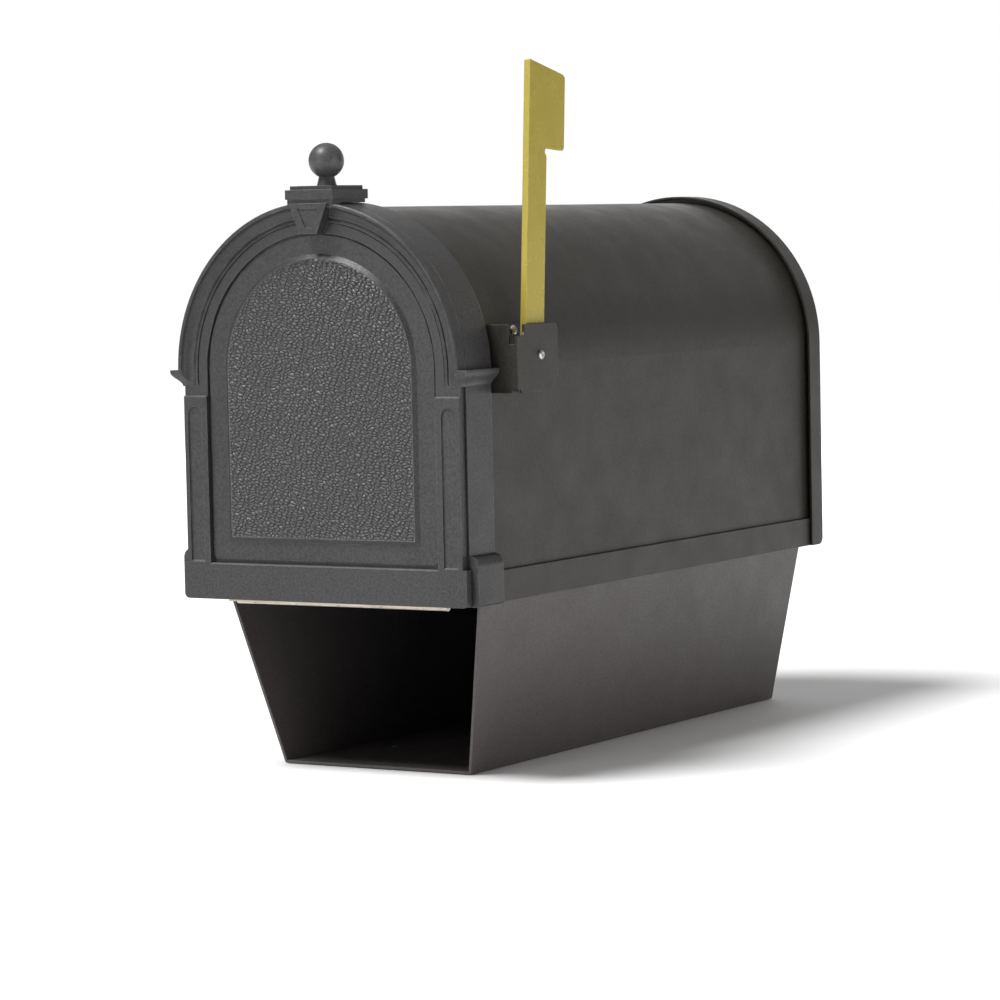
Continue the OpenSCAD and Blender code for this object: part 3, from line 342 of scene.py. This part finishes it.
def field_skin():
    """Closed thin skin over the field: pebbled in front, flat behind, tapering to nothing at its edge."""
    rows = 2 + int((FIELD_HALF_W + FIELD_RISE - FIELD_FOOT) / FIELD_STEP)
    columns = 2 + int(2 * FIELD_HALF_W / FIELD_STEP)
    t = np.linspace(0.0, 1.0, rows)
    z = FIELD_FOOT + t * (FIELD_HALF_W + FIELD_RISE - FIELD_FOOT)
    half = np.sqrt(np.maximum(FIELD_HALF_W ** 2 - np.maximum(z - FIELD_RISE, 0) ** 2, ARCH_TIP ** 2))
    s = np.linspace(-1.0, 1.0, columns)
    x = half[:, None] * s[None, :]
    zz = np.repeat(z[:, None], columns, axis=1)
    depth = np.clip(inside_field(x, zz) / EDGE_TAPER, 0, 1)
    front = FIELD_FACE - SKIN_PROUD - PEBBLE_H * pebbles(x, zz) * depth
    back = np.full_like(front, FIELD_FACE + SKIN_SUNK)
    layers = [np.stack([x, y + FACE_Y, zz + SPRING_Z], -1).reshape(-1, 3) for y in (front, back)]
    count = rows * columns
    index = np.arange(count).reshape(rows, columns)
    a, b, c, d = index[:-1, :-1], index[:-1, 1:], index[1:, 1:], index[1:, :-1]
    quads = np.stack([a, b, c, d], -1).reshape(-1, 4)
    ring = np.concatenate([index[0, :-1], index[:-1, -1], index[-1, :0:-1], index[:0:-1, 0]])
    after = np.roll(ring, -1)
    skirt = np.stack([ring, ring + count, after + count, after], -1)
    faces = np.concatenate([quads, quads[:, ::-1] + count, skirt])
    mesh = bpy.data.meshes.new("door_field_grain")
    mesh.from_pydata(np.concatenate(layers).tolist(), [], faces.tolist())
    mesh.polygons.foreach_set("use_smooth", [True] * len(quads) + [False] * (len(faces) - len(quads)))
    mesh.validate()
    mesh.update()
    piece = bpy.data.objects.new("door_field_grain", mesh)
    bpy.context.scene.collection.objects.link(piece)
    mesh.materials.append(PANEL)
    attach(piece, "door")
    return piece


field_skin()


# ---------- Floor, light and camera ----------
FLOOR_SIZE = 24.0
FLOOR_DROP = 0.5 * MM         # the floor lies just under the part


def floor_material():
    t = Tree("studio_floor")
    tone = t.remap(t.noise(3.0, 3.0), 0.3, 0.7, 0.0, 1.0)
    t.feed(t.shader.inputs["Base Color"], t.mix(tone, (0.93, 0.93, 0.93, 1), (0.95, 0.95, 0.95, 1)))
    t.feed(t.shader.inputs["Roughness"], t.remap(t.noise(40.0, 2.0), 0.3, 0.7, 0.75, 0.85))
    return t.material


WORLD_LIGHT, WORLD_SEEN = 0.16, 1.0    # the plain backdrop: what it lights with, and how bright it looks


def studio():
    bpy.ops.mesh.primitive_plane_add(size=FLOOR_SIZE, location=(0.0, 0.0, -FLOOR_DROP))
    ground = bpy.context.object
    ground.name = "studio_floor"
    ground.data.materials.append(floor_material())
    world = bpy.data.worlds.new("studio_world")
    bpy.context.scene.world = world
    world.use_nodes = True
    background = world.node_tree.nodes["Background"]
    background.inputs["Color"].default_value = (1.0, 1.0, 1.0, 1)
    path = world.node_tree.nodes.new("ShaderNodeLightPath")
    level = world.node_tree.nodes.new("ShaderNodeMapRange")
    level.inputs["To Min"].default_value = WORLD_LIGHT
    level.inputs["To Max"].default_value = WORLD_SEEN
    world.node_tree.links.new(path.outputs["Is Camera Ray"], level.inputs["Value"])
    world.node_tree.links.new(level.outputs["Result"], background.inputs["Strength"])


def area_light(name, place, target, size, watts, colour):
    data = bpy.data.lights.new(name, "AREA")
    data.shape = "RECTANGLE"
    data.size, data.size_y = size
    data.energy = watts
    data.color = colour
    lamp = bpy.data.objects.new(name, data)
    lamp.location = place
    lamp.rotation_euler = (Vector(target) - Vector(place)).to_track_quat("-Z", "Y").to_euler()
    lamp.visible_camera = False
    bpy.context.scene.collection.objects.link(lamp)


def sun(name, towards, strength, softness):
    """Distant soft light; towards points from the object to the light."""
    data = bpy.data.lights.new(name, "SUN")
    data.energy = strength
    data.angle = math.radians(softness)
    lamp = bpy.data.objects.new(name, data)
    lamp.rotation_euler = Vector(towards).to_track_quat("Z", "Y").to_euler()
    bpy.context.scene.collection.objects.link(lamp)


CAMERA_PLACE = (1.4289, -2.4000, 0.3701)
CAMERA_YAW, CAMERA_PITCH, CAMERA_ROLL = 31.194, -4.078, 1.224
CAMERA_LENS, CAMERA_SENSOR = 137.34, 36.0


def camera():
    """Camera at the photo's viewing angle, from its yaw, pitch and roll in degrees."""
    yaw, pitch, roll = (math.radians(a) for a in (CAMERA_YAW, CAMERA_PITCH, CAMERA_ROLL))
    forward = Vector((-math.sin(yaw) * math.cos(pitch), math.cos(yaw) * math.cos(pitch), math.sin(pitch)))
    right = Vector((math.cos(yaw), math.sin(yaw), 0.0))
    down = forward.cross(right)
    across = math.cos(roll) * right + math.sin(roll) * down
    up = math.sin(roll) * right - math.cos(roll) * down
    data = bpy.data.cameras.new("camera")
    data.lens = CAMERA_LENS
    data.sensor_width = CAMERA_SENSOR
    data.clip_end = 50.0
    eye = bpy.data.objects.new("camera", data)
    turn = Matrix((across, up, -forward)).transposed().to_4x4()
    eye.matrix_world = Matrix.Translation(Vector(CAMERA_PLACE)) @ turn
    bpy.context.scene.collection.objects.link(eye)
    bpy.context.scene.camera = eye


WHITE, WARM_WHITE = (1.0, 1.0, 1.0), (1.0, 0.94, 0.90)
KEY_TOWARDS, KEY_STRENGTH, KEY_SOFTNESS = (-0.50, -0.72, 1.50), 3.9, 22.0
PANELS = (    # name, place, target, size in metres, watts, colour
    ("sky_panel", (-0.3, 1.1, 2.6), (0, 0, 0.40), (2.6, 2.2), 8, WHITE),
    ("back_panel", (-1.2, 3.4, 1.0), (0, 0, 0.35), (4.4, 1.4), 32, WHITE),
    ("right_fill", (2.6, -0.4, 0.30), (0, 0, 0.15), (2.0, 1.4), 20, WARM_WHITE),
    ("front_softbox", (-0.7, -2.65, 0.62), (0, -0.25, 0.35), (0.85, 0.85), 8, WHITE),
)

studio()
sun("key_light", KEY_TOWARDS, KEY_STRENGTH, KEY_SOFTNESS)
for panel in PANELS:
    area_light(*panel)
camera()

bpy.context.scene.view_settings.view_transform = "Standard"
